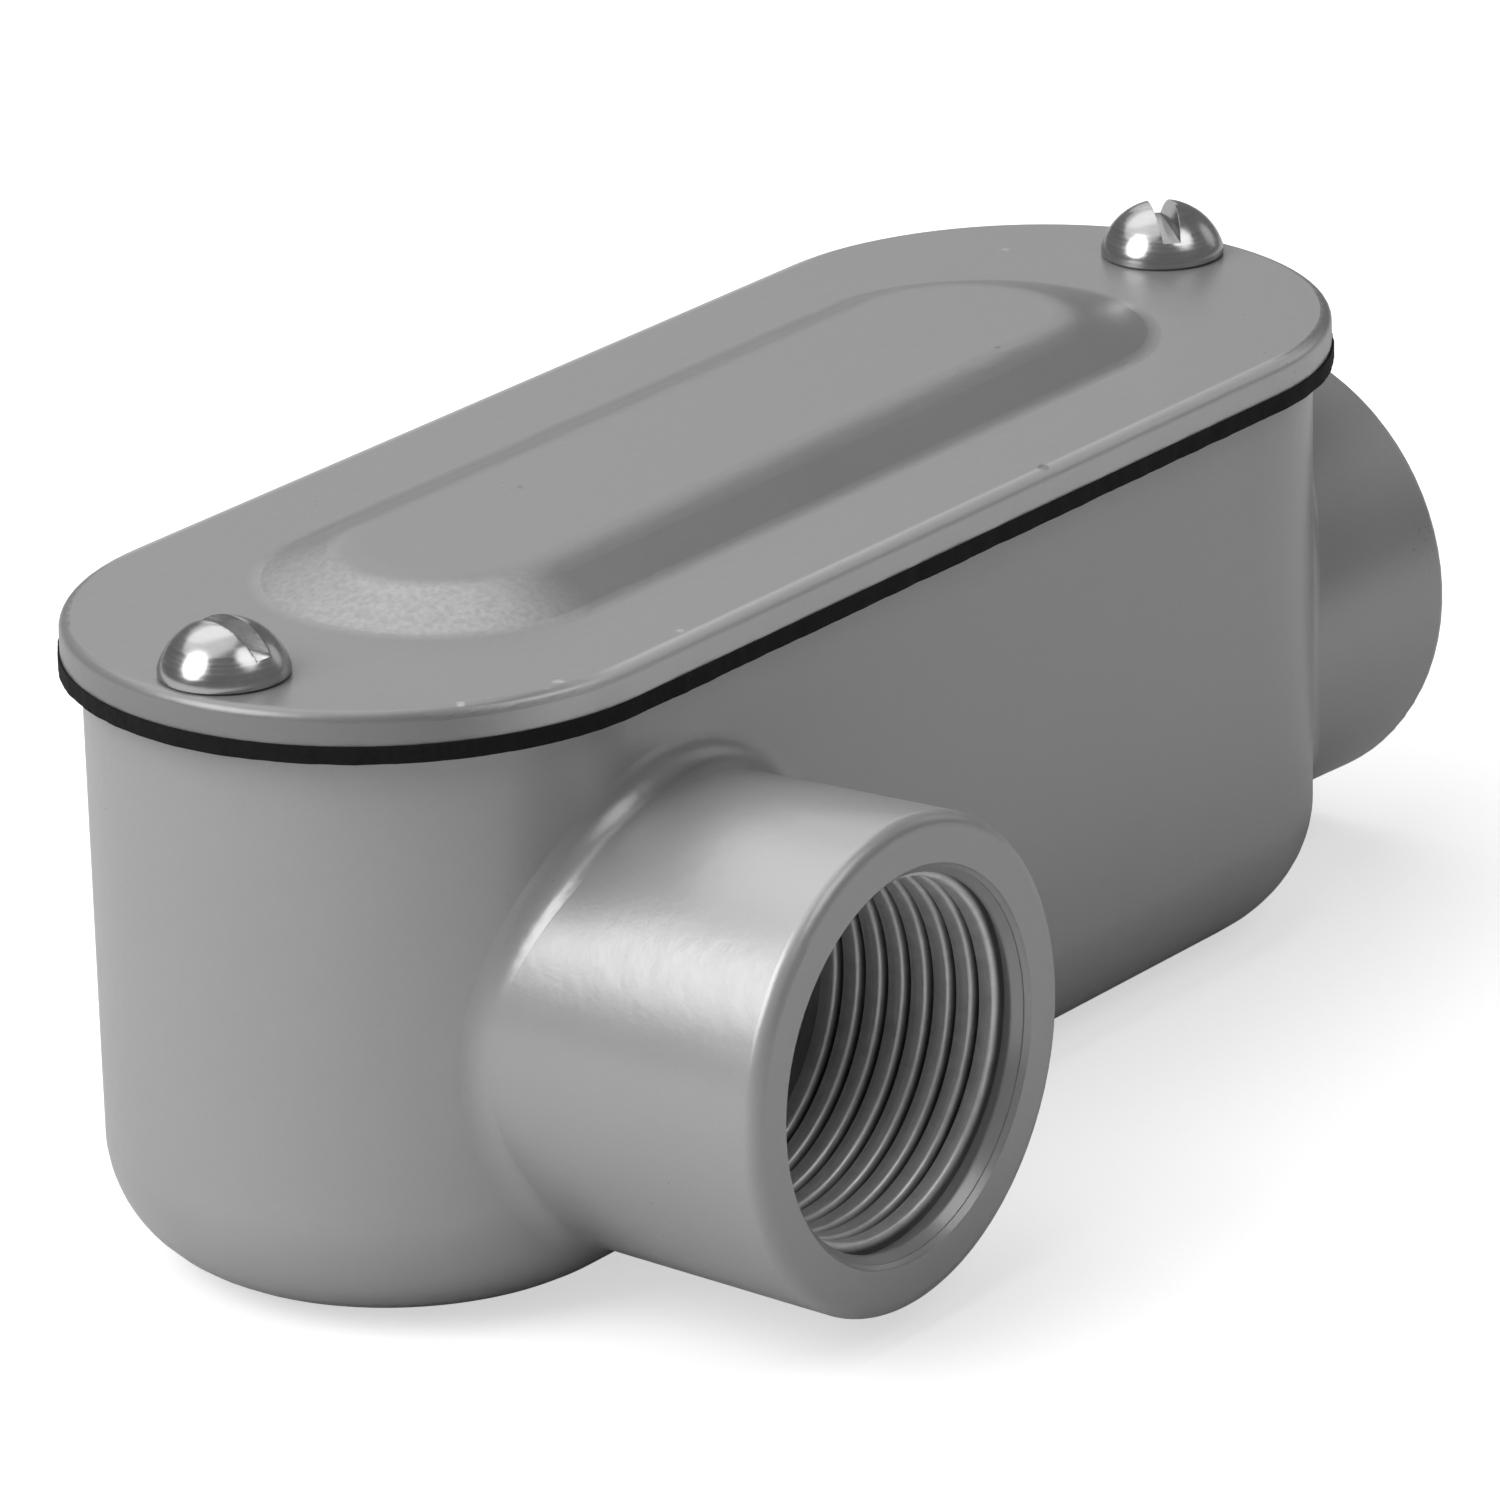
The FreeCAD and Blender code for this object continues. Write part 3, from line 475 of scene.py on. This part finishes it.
def makeRidgeTree():
    # winds a ridge on a cone: in a hub its crest points to the axis, and on a screw, where height and
    # depth are negative, away from it
    tree, given, out = newTree("threadRidge", "GeometryNodeTree", [
        ("Turns", "Float", 8.0), ("Steps", "Int", 96), ("Pitch", "Float", 1.8 * mm),
        ("Start Radius", "Float", 12 * mm), ("End Radius", "Float", 12 * mm),
        ("Crest Width", "Float", 0.5 * mm), ("Crest Height", "Float", 1.1 * mm),
        ("Foot Width", "Float", 1.8 * mm), ("Foot Depth", "Float", 0.5 * mm),
        ("Rounding", "Float", 0.1 * mm), ("Run Out", "Float", 0.05),
        ("Turned", "Vector", (0, 0, 0)), ("Place", "Vector", (0, 0, 0)), ("Finish", "Material", None),
    ], [("Geometry", "Geometry")])
    rise = calc(tree, "MULTIPLY", given["Turns"], given["Pitch"])
    path = addNode(tree, "GeometryNodeCurveSpiral", {
        "Resolution": given["Steps"], "Rotations": given["Turns"], "Start Radius": given["Start Radius"],
        "End Radius": given["End Radius"], "Height": rise, "Reverse": True})
    upright = addNode(tree, "GeometryNodeSetCurveNormal", {"Curve": path.outputs["Curve"]}, mode="Z_UP")
    along = addNode(tree, "GeometryNodeSplineParameter").outputs["Factor"]
    starting = calc(tree, "DIVIDE", along, given["Run Out"])
    ending = calc(tree, "DIVIDE", calc(tree, "SUBTRACT", 1.0, along), given["Run Out"])
    grown = calc(tree, "MINIMUM", calc(tree, "MINIMUM", starting, ending), 1.0)
    size = calc(tree, "MAXIMUM", calc(tree, "POWER", grown, 0.6), 0.05)
    swelling = addNode(tree, "GeometryNodeSetCurveRadius", {
        "Curve": upright.outputs["Curve"], "Radius": size})
    crest = calc(tree, "MULTIPLY", given["Crest Height"], -1.0)
    outline = addNode(tree, "GeometryNodeCurvePrimitiveQuadrilateral", mode="POINTS")
    corners = (("Foot Width", 0.5, given["Foot Depth"]), ("Crest Width", 0.5, crest),
               ("Crest Width", -0.5, crest), ("Foot Width", -0.5, given["Foot Depth"]))
    for number, (width, side, deep) in enumerate(corners, start=1):
        across = calc(tree, "MULTIPLY", given[width], side)
        corner = addNode(tree, "ShaderNodeCombineXYZ", {"X": deep, "Y": across})
        tree.links.new(corner.outputs[0], outline.inputs[f"Point {number}"])
    rounded = addNode(tree, "GeometryNodeFilletCurve", {
        "Curve": outline.outputs["Curve"], "Count": 2, "Radius": given["Rounding"]}, mode="POLY")
    swept = addNode(tree, "GeometryNodeCurveToMesh", {
        "Curve": swelling.outputs["Curve"], "Profile Curve": rounded.outputs["Curve"], "Fill Caps": True})
    turn = addNode(tree, "GeometryNodeTransform", {
        "Geometry": swept.outputs["Mesh"], "Translation": given["Place"], "Rotation": given["Turned"]})
    return endTree(tree, turn.outputs["Geometry"], given["Finish"], out)


def makeSheetTree():
    # a flat frame with full-round ends, one opening, two holes and an uneven outer edge
    tree, given, out = newTree("gasketSheet", "GeometryNodeTree", [
        ("Half Length", "Float", 50 * mm), ("Half Width", "Float", 20 * mm),
        ("Open Length", "Float", 40 * mm), ("Open Width", "Float", 16 * mm),
        ("Hole Place", "Float", 45 * mm), ("Hole Radius", "Float", 2.5 * mm),
        ("Bottom", "Float", 0.0), ("Thickness", "Float", 1.2 * mm), ("Step", "Float", 0.3 * mm),
        ("Uneven", "Float", 0.2 * mm), ("Uneven Size", "Float", 2.0 * mm), ("Finish", "Material", None),
    ], [("Geometry", "Geometry")])

    def outline(length, width):
        box = addNode(tree, "GeometryNodeCurvePrimitiveQuadrilateral", {
            "Width": calc(tree, "MULTIPLY", length, 2.0), "Height": calc(tree, "MULTIPLY", width, 2.0)})
        ends = addNode(tree, "GeometryNodeFilletCurve", {
            "Curve": box.outputs["Curve"], "Count": 40, "Radius": calc(tree, "MULTIPLY", width, 0.9999)},
            mode="POLY")
        return ends.outputs["Curve"]

    outer = outline(given["Half Length"], given["Half Width"])
    even = addNode(tree, "GeometryNodeResampleCurve", {"Curve": outer, "Length": given["Step"]}, mode="LENGTH")
    noise = addNoise(tree, addNode(tree, "GeometryNodeInputPosition").outputs[0],
                     calc(tree, "DIVIDE", 1.0, given["Uneven Size"]), 3.0, 0.6)
    sway = calc(tree, "MULTIPLY", calc(tree, "SUBTRACT", noise, 0.5), given["Uneven"])
    tangent = addNode(tree, "GeometryNodeInputTangent").outputs[0]
    across = vectorCalc(tree, "CROSS_PRODUCT", tangent, (0, 0, 1))
    edge = addNode(tree, "GeometryNodeSetPosition", {
        "Geometry": even.outputs["Curve"], "Offset": scaleVector(tree, across, sway)})
    joined = addNode(tree, "GeometryNodeJoinGeometry")
    tree.links.new(edge.outputs["Geometry"], joined.inputs["Geometry"])
    tree.links.new(outline(given["Open Length"], given["Open Width"]), joined.inputs["Geometry"])
    for side in (-1.0, 1.0):
        hole = addNode(tree, "GeometryNodeCurvePrimitiveCircle", {
            "Resolution": 48, "Radius": given["Hole Radius"]})
        beside = calc(tree, "MULTIPLY", given["Hole Place"], side)
        place = addNode(tree, "ShaderNodeCombineXYZ", {"X": beside})
        moved = addNode(tree, "GeometryNodeTransform", {
            "Geometry": hole.outputs["Curve"], "Translation": place.outputs[0]})
        tree.links.new(moved.outputs["Geometry"], joined.inputs["Geometry"])
    sheet = addNode(tree, "GeometryNodeFillCurve", {"Curve": joined.outputs["Geometry"]})
    raised = addNode(tree, "GeometryNodeExtrudeMesh", {
        "Mesh": sheet.outputs["Mesh"], "Offset": (0, 0, 1), "Offset Scale": given["Thickness"],
        "Individual": False}, mode="FACES")
    base = addNode(tree, "GeometryNodeFlipFaces", {"Mesh": sheet.outputs["Mesh"]})
    both = addNode(tree, "GeometryNodeJoinGeometry")
    tree.links.new(raised.outputs["Mesh"], both.inputs["Geometry"])
    tree.links.new(base.outputs["Mesh"], both.inputs["Geometry"])
    sealed = addNode(tree, "GeometryNodeMergeByDistance", {
        "Geometry": both.outputs["Geometry"], "Distance": 0.002 * mm})
    lift = addNode(tree, "ShaderNodeCombineXYZ", {"Z": given["Bottom"]})
    seated = addNode(tree, "GeometryNodeTransform", {
        "Geometry": sealed.outputs["Geometry"], "Translation": lift.outputs[0]})
    return endTree(tree, seated.outputs["Geometry"], given["Finish"], out)


ridgeTree = makeRidgeTree()
sheetTree = makeSheetTree()
print("trees built")


def meshPiece(name, build):
    bmesh.ops.recalc_face_normals(build, faces=build.faces)
    mesh = bpy.data.meshes.new(name)
    build.to_mesh(mesh)
    build.free()
    return addObject(name, mesh)


def lathe(name, profile, steps, material, closed=False):
    # rings of the profile about the Z axis, poles closed
    build = bmesh.new()
    rings = []
    for radius, height in profile:
        if radius == 0:
            rings.append([build.verts.new((0, 0, height))])
            continue
        rings.append([build.verts.new((radius * math.cos(turn), radius * math.sin(turn), height))
                      for turn in (2 * math.pi * step / steps for step in range(steps))])
    pairs = list(zip(rings, rings[1:]))
    if closed:
        pairs.append((rings[-1], rings[0]))
    for lower, upper in pairs:
        for step in range(steps):
            after = (step + 1) % steps
            if len(lower) == 1:
                build.faces.new((lower[0], upper[after], upper[step]))
            elif len(upper) == 1:
                build.faces.new((lower[step], lower[after], upper[0]))
            else:
                build.faces.new((lower[step], lower[after], upper[after], upper[step]))
    made = meshPiece(name, build)
    made.data.materials.append(material)
    return made


def finishPiece(piece, body, slot, *replaced):
    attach(piece, body)
    if replaced:
        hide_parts(*replaced)


# pipe threads in both hubs

pipeThread = {
    "pitch": 1.814 * mm,
    "mouthRadius": 13.1 * mm,      # root of the thread just inside the mouth
    "taper": 1 / 16,               # on the diameter
    "firstRidge": 1.9 * mm,        # mouth to the middle of the first ridge
    "lastRidge": 17.0 * mm,
    "runOut": 0.06,                # share of the length over which each end dies away
    "crestWidth": 1.15 * mm,
    "crestHeight": 0.75 * mm,
    "footWidth": 1.90 * mm,
    "footDepth": 0.30 * mm,
    "rounding": 0.22 * mm,
    "steps": 128,                  # to the turn
    "smoothAngle": 40,
}


def addPipeThread(name, hub, size, metal):
    # the tree winds along +Z; it is turned so that +Z runs from the mouth into the hub
    start, outwards = hubPlace(hub, size["firstRidge"])
    length = size["lastRidge"] - size["firstRidge"]
    ridge = runTree(name, ridgeTree, {
        "Turns": length / size["pitch"], "Steps": size["steps"], "Pitch": size["pitch"],
        "Start Radius": size["mouthRadius"], "End Radius": size["mouthRadius"] - size["taper"] / 2 * length,
        "Crest Width": size["crestWidth"], "Crest Height": size["crestHeight"],
        "Foot Width": size["footWidth"], "Foot Depth": size["footDepth"], "Rounding": size["rounding"],
        "Run Out": size["runOut"], "Turned": tuple((-outwards).to_track_quat("Z", "Y").to_euler()),
        "Place": tuple(start), "Finish": metal,
    }, size["smoothAngle"])
    finishPiece(ridge, "casting", "casting_paint")


mouthRing = {
    "wide": 13.60 * mm,            # where the bevel meets the hub's face
    "narrow": 12.80 * mm,
    "sunk": 0.02 * mm,             # below the face
    "depth": 1.05 * mm,
    "land": 0.20 * mm,
    "soft": 0.20 * mm,
    "chamfer": 0.15 * mm,
    "back": 0.5 * mm,
    "buried": 13.85 * mm,          # behind the bore wall
    "buriedDepth": 0.4 * mm,
    "steps": 160,
    "smoothAngle": 35,
}


def addMouthRing(name, hub, size, metal):
    # the smooth bevel between the hub's face and the first groove, let into the bore wall
    centre, outwards = hubPlace(hub)
    soft, narrow, bevelEnd = size["soft"], size["narrow"], -size["depth"]
    landEnd = bevelEnd - size["land"]
    profile = [
        (size["wide"], -size["sunk"]),
        (narrow + soft, bevelEnd + soft),
        (narrow + soft * 0.3, bevelEnd + soft * 0.2),
        (narrow, bevelEnd - soft * 0.3),
        (narrow, landEnd),
        (narrow + soft, landEnd - size["chamfer"]),
        (size["buried"], landEnd - size["back"]),
        (size["buried"], -size["buriedDepth"]),
    ]
    ring = lathe(name, profile, size["steps"], metal, closed=True)
    ring.data.transform(standing(centre, outwards))
    smoothMesh(ring.data, size["smoothAngle"])
    finishPiece(ring, "casting", "casting_paint")


addPipeThread("sideHubThread", sideHub, pipeThread, sideThreadMetal)
addPipeThread("endHubThread", endHub, pipeThread, endThreadMetal)
addMouthRing("sideHubMouth", sideHub, mouthRing, castingPaint)
addMouthRing("endHubMouth", endHub, mouthRing, castingPaint)
print("pipe threads wound")


# cover screws: domed slotted head, threaded shank

screwSize = {
    "headRadius": 4.4 * mm,
    "headHeight": 3.85 * mm,
    "rimHeight": 0.55 * mm,
    "rimChamfer": 0.15 * mm,
    "neck": 0.3 * mm,              # flare where the shank meets the head
    "domeSteps": 14,
    "steps": 96,
    "slotWidth": 1.25 * mm,
    "slotFlare": 0.28 * mm,        # each side, at the crown
    "slotDepth": 2.0 * mm,
    "edge": 0.13 * mm,             # bevel on every sharp edge
    "edgeAngle": 38,
    "smoothAngle": 50,
    "shankRadius": 2.1 * mm,
    "tip": 9.5 * mm,
    "tipChamfer": 0.6 * mm,
}
screwThread = {
    "radius": 2.36 * mm,
    "pitch": 1.058 * mm,
    "tipGap": 0.5 * mm,            # plain at the tip
    "headGap": 0.6 * mm,           # plain under the head
    "crestWidth": 0.16 * mm,
    "footWidth": 0.85 * mm,
    "footDepth": 0.15 * mm,
    "rounding": 0.03 * mm,
    "runOut": 0.08,
    "steps": 40,
    "smoothAngle": 40,
}


def screwProfile(size):
    radius, height, rim = size["headRadius"], size["headHeight"], size["rimHeight"]
    shank, tip, chamfer = size["shankRadius"], size["tip"], size["tipChamfer"]
    rise = height - rim
    dome = (radius ** 2 + rise ** 2) / (2 * rise)
    edgeTurn = math.asin((dome - rise) / dome)
    profile = [(0, -tip), (shank - chamfer, -tip), (shank, -tip + chamfer), (shank, -size["neck"]),
               (shank + size["neck"], 0), (radius - size["rimChamfer"], 0), (radius, size["rimChamfer"]),
               (radius, rim)]
    for step in range(1, size["domeSteps"]):
        turn = edgeTurn + (math.pi / 2 - edgeTurn) * step / size["domeSteps"]
        profile.append((dome * math.cos(turn), height - dome + dome * math.sin(turn)))
    return profile + [(0, height)]


def slotCutter(size):
    # a bar that flares towards the crown
    half, flare, reach = size["slotWidth"] / 2, size["slotFlare"], size["headRadius"] * 1.3
    low, high = size["headHeight"] - size["slotDepth"], size["headHeight"] + 0.4 * mm
    build = bmesh.new()
    for x in (-reach, reach):
        for y, z in ((-half, low), (half, low), (half + flare, high), (-half - flare, high)):
            build.verts.new((x, y, z))
    build.verts.ensure_lookup_table()
    v = build.verts
    for corners in ((0, 1, 2, 3), (7, 6, 5, 4), (0, 4, 5, 1), (1, 5, 6, 2), (2, 6, 7, 3), (3, 7, 4, 0)):
        build.faces.new([v[corner] for corner in corners])
    return meshPiece("slotCutter", build)


def makeHead(name, size):
    head = lathe(name, screwProfile(size), size["steps"], plating)
    cutter = slotCutter(size)
    cut = head.modifiers.new("slot", "BOOLEAN")
    cut.object, cut.operation, cut.solver = cutter, "DIFFERENCE", "EXACT"
    edges = head.modifiers.new("edges", "BEVEL")
    edges.width, edges.segments = size["edge"], 3
    edges.limit_method, edges.angle_limit = "ANGLE", math.radians(size["edgeAngle"])
    head = bakeObject(head, name, size["smoothAngle"])
    bpy.data.objects.remove(cutter)
    return head


def makeScrew(name, node, body, slotTurn, size, thread):
    low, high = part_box(node)
    place = Vector(((low.x + high.x) / 2, (low.y + high.y) / 2, high.z - size["headHeight"]))
    head = makeHead(name, size)
    head.data.transform(Matrix.Rotation(math.radians(slotTurn), 4, "Z"))
    length = size["tip"] - thread["tipGap"] - thread["headGap"]
    ridge = runTree(name + "Ridge", ridgeTree, {
        "Turns": length / thread["pitch"], "Steps": thread["steps"], "Pitch": thread["pitch"],
        "Start Radius": size["shankRadius"], "End Radius": size["shankRadius"],
        "Crest Width": thread["crestWidth"], "Crest Height": size["shankRadius"] - thread["radius"],
        "Foot Width": thread["footWidth"], "Foot Depth": -thread["footDepth"],
        "Rounding": thread["rounding"], "Run Out": thread["runOut"],
        "Turned": (0, 0, 0), "Place": (0, 0, thread["tipGap"] - size["tip"]), "Finish": plating,
    }, thread["smoothAngle"])
    joined = bmesh.new()
    joined.from_mesh(head.data)
    joined.from_mesh(ridge.data)
    bmesh.ops.recalc_face_normals(joined, faces=joined.faces)
    bmesh.ops.translate(joined, verts=joined.verts, vec=place)
    joined.to_mesh(head.data)
    joined.free()
    bpy.data.objects.remove(ridge)
    finishPiece(head, body, "screw_plating", node)


slotTurns = {"near": 84.0, "far": 46.0}  # degrees about the screw's axis
makeScrew("nearCoverScrew", "cover_screw_near", "screw_near", slotTurns["near"], screwSize, screwThread)
makeScrew("farCoverScrew", "cover_screw_far", "screw_far", slotTurns["far"], screwSize, screwThread)
print("screws turned")


gasketSize = {
    "webBesideScrew": 4.9 * mm,
    "landBesideWall": 5.5 * mm,
    "holeRadius": 2.7 * mm,
    "uneven": 0.42 * mm,
    "unevenSize": 2.6 * mm,
    "step": 0.3 * mm,              # along the outer edge
    "smoothAngle": 35,
}


def makeGasket(size):
    low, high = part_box("gasket")
    screwLow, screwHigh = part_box("cover_screw_far")
    screwPlace = (screwLow.x + screwHigh.x) / 2
    sheet = runTree("wavyGasket", sheetTree, {
        "Half Length": high.x, "Half Width": high.y,
        "Open Length": screwPlace - size["webBesideScrew"], "Open Width": high.y - size["landBesideWall"],
        "Hole Place": screwPlace, "Hole Radius": size["holeRadius"],
        "Bottom": low.z, "Thickness": high.z - low.z, "Step": size["step"],
        "Uneven": size["uneven"], "Uneven Size": size["unevenSize"], "Finish": rubber,
    }, size["smoothAngle"])
    finishPiece(sheet, "cover", "gasket_rubber", "gasket")


makeGasket(gasketSize)
print("gasket cut")

# finishes on the solids that stay

for node, finish in (("body_casting", castingPaint), ("cover_plate", coverPaint)):
    for slot in nodes[node].material_slots:
        slot.material = finish


# studio

camera = {
    "azimuth": -52.813,
    "elevation": 20.04,
    "roll": -1.443,
    "right": 1.2 * mm,
    "up": 22.0 * mm,
    "distance": 810.9 * mm,
    "lens": 278.9,
    "sensor": 36.0,
}


def placeCamera(size):
    turn, rise, roll = (math.radians(size[key]) for key in ("azimuth", "elevation", "roll"))
    back = Vector((math.sin(turn) * math.cos(rise), -math.cos(turn) * math.cos(rise), math.sin(rise)))
    right = Vector((0, 0, 1)).cross(back).normalized()
    up = back.cross(right)
    side = math.cos(roll) * right + math.sin(roll) * up
    top = back.cross(side)
    data = bpy.data.cameras.new("studioCamera")
    data.lens, data.sensor_width = size["lens"], size["sensor"]
    made = addObject("studioCamera", data)
    turned = Matrix((side, top, back)).transposed().to_4x4()
    turned.translation = size["right"] * side + size["up"] * top + size["distance"] * back
    made.matrix_world = turned
    bpy.context.scene.camera = made


placeCamera(camera)

floorPaper = {
    "reach": 3.0,                  # metres each way
    "tone": 0.62,
    "roughness": 0.9,
    "glow": 0.6,                   # seen by the camera only
}


def makeFloor(size):
    reach = size["reach"]
    mesh = bpy.data.meshes.new("floor")
    corners = [(-reach, -reach, 0), (reach, -reach, 0), (reach, reach, 0), (-reach, reach, 0)]
    mesh.from_pydata(corners, [], [(0, 1, 2, 3)])
    floor = addObject("floor", mesh)
    paper, tree, shader, _ = newMaterial(
        "floorPaper", Base_Color=grey(size["tone"]), Roughness=size["roughness"],
        Emission_Color=grey(size["glow"]))
    rays = addNode(tree, "ShaderNodeLightPath").outputs
    tree.links.new(rays["Is Camera Ray"], shader.inputs["Emission Strength"])
    mesh.materials.append(paper)


makeFloor(floorPaper)

surroundings = {
    "mirrored": 0.18,              # strength in reflections, above the dim rest
    "dim": 0.02,
}


def makeWorld(light):
    # white to the camera, dim in reflections, nearly dark otherwise
    world = bpy.data.worlds.new("studio")
    bpy.context.scene.world = world
    world.use_nodes = True
    tree = world.node_tree
    sky = tree.nodes["Background"]
    rays = addNode(tree, "ShaderNodeLightPath").outputs
    shown = calc(tree, "MAXIMUM", rays["Is Camera Ray"], rays["Is Transmission Ray"])
    reflected = calc(tree, "MULTIPLY_ADD", rays["Is Glossy Ray"], light["mirrored"], light["dim"])
    tree.links.new(calc(tree, "MAXIMUM", shown, reflected), sky.inputs["Strength"])
    sky.inputs["Color"].default_value = grey(1)


makeWorld(surroundings)

lamps = {  # bearing and height in degrees, distance and size in metres, watts, seen in reflections
    "keyLamp": (154, 38, 1.2, 0.85, 7.2, True),
    "leftCanopy": (150, 65, 1.2, 1.2, 5.4, False),
    "sideCanopy": (180, 20, 1.2, 1.0, 1.5, False),
    "middleCanopy": (100, 70, 1.5, 2.1, 9.0, True),
    "rightCanopy": (60, 55, 1.2, 1.2, 2.0, True),
    "frontLamp": (-80, 52, 1.2, 0.72, 2.2, True),
    "fillLamp": (-20, 20, 1.2, 0.50, 0.30, True),
    "backLamp": (40, 24, 1.2, 0.60, 0.55, True),
}


def addLamp(name, azimuth, elevation, distance, size, power, mirrored):
    # the lamp stands at that bearing from the part and faces it
    turn, rise = math.radians(azimuth), math.radians(elevation)
    away = Vector((math.cos(turn) * math.cos(rise), math.sin(turn) * math.cos(rise), math.sin(rise)))
    data = bpy.data.lights.new(name, "AREA")
    data.shape, data.size, data.energy = "DISK", size, power
    lamp = addObject(name, data)
    lamp.visible_glossy = mirrored
    lamp.matrix_world = standing(away * distance, away)


for name, values in lamps.items():
    addLamp(name, *values)
bpy.context.scene.view_settings.view_transform = "Standard"
print("studio lit")
